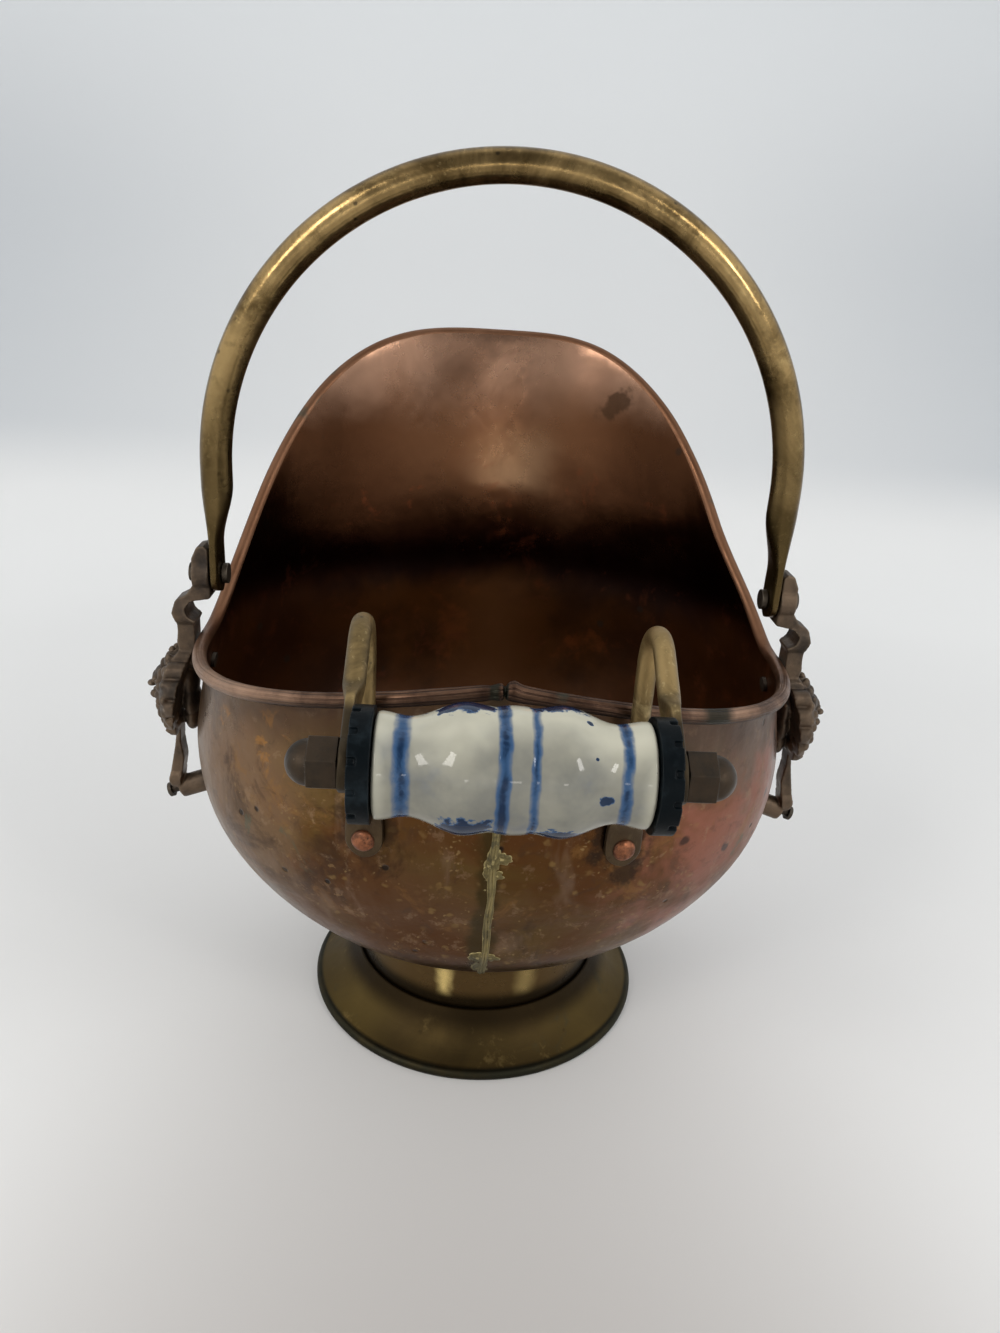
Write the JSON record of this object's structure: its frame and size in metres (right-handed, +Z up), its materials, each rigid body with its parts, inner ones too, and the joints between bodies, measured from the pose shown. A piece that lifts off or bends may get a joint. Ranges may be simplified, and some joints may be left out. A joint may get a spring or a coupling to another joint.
{
  "type": "coal scuttle",
  "caption": "Helmet coal scuttle: copper bowl with tall pouring lip, brass foot, swinging bail on lion-mask ears, and a porcelain tipping grip on gooseneck arms.",
  "frame": {"origin": "on the floor, under the middle of the overall length and width", "axes": "+Z up, +Y towards the pouring lip, -Y towards the porcelain grip, +X to the right seen from the grip"},
  "size_m": [0.238, 0.2444, 0.293],
  "materials": {
    "copper": "aged copper sheet, mottled brown patina",
    "foot_brass": "dull aged brass with dark tarnish",
    "bail_brass": "aged olive brass, lightly polished by hands",
    "arm_brass": "scratched brass rod",
    "braze": "yellow brazing metal and grey solder",
    "iron_wire": "dull drawn iron wire",
    "cast_ear": "dark brown cast metal",
    "pin_metal": "dark worn steel",
    "rivet_copper": "copper rivet, worn",
    "porcelain": "white glaze with cobalt bands",
    "black_ring": "black moulded ring, dusty",
    "rod_steel": "threaded steel rod",
    "nut_brass": "tarnished brass"
  },
  "bodies": {
    "scuttle": {"body_shell": "copper", "rim_wire": "iron_wire", "seam_braze": "braze", "foot_flare": "foot_brass", "foot_drum": "foot_brass", "foot_wire": "iron_wire", "foot_solder": "braze", "ear_left": "cast_ear", "ear_right": "cast_ear", "ear_rivets_left": "pin_metal", "ear_rivets_right": "pin_metal", "bail_pin_left": "pin_metal", "bail_pin_right": "pin_metal", "arm_left": "arm_brass", "arm_right": "arm_brass", "arm_rivet_left": "rivet_copper", "arm_rivet_right": "rivet_copper", "grip_rod": "rod_steel", "ring_left": "black_ring", "ring_right": "black_ring", "nut_left": "nut_brass", "nut_right": "nut_brass"},
    "bail": {"bail": "bail_brass"},
    "grip": {"porcelain_grip": "porcelain"}
  },
  "joints": [
    {"name": "bail_swing", "type": "hinge", "parent": "scuttle", "child": "bail", "pos_m": [0, 0.02025, 0.161], "axis": [1, 0, 0], "range_deg": [-49, 81.5]},
    {"name": "grip_spin", "type": "hinge", "parent": "scuttle", "child": "grip", "pos_m": [0, -0.10775, 0.1595], "axis": [1, 0, 0], "continuous": true}
  ]
}
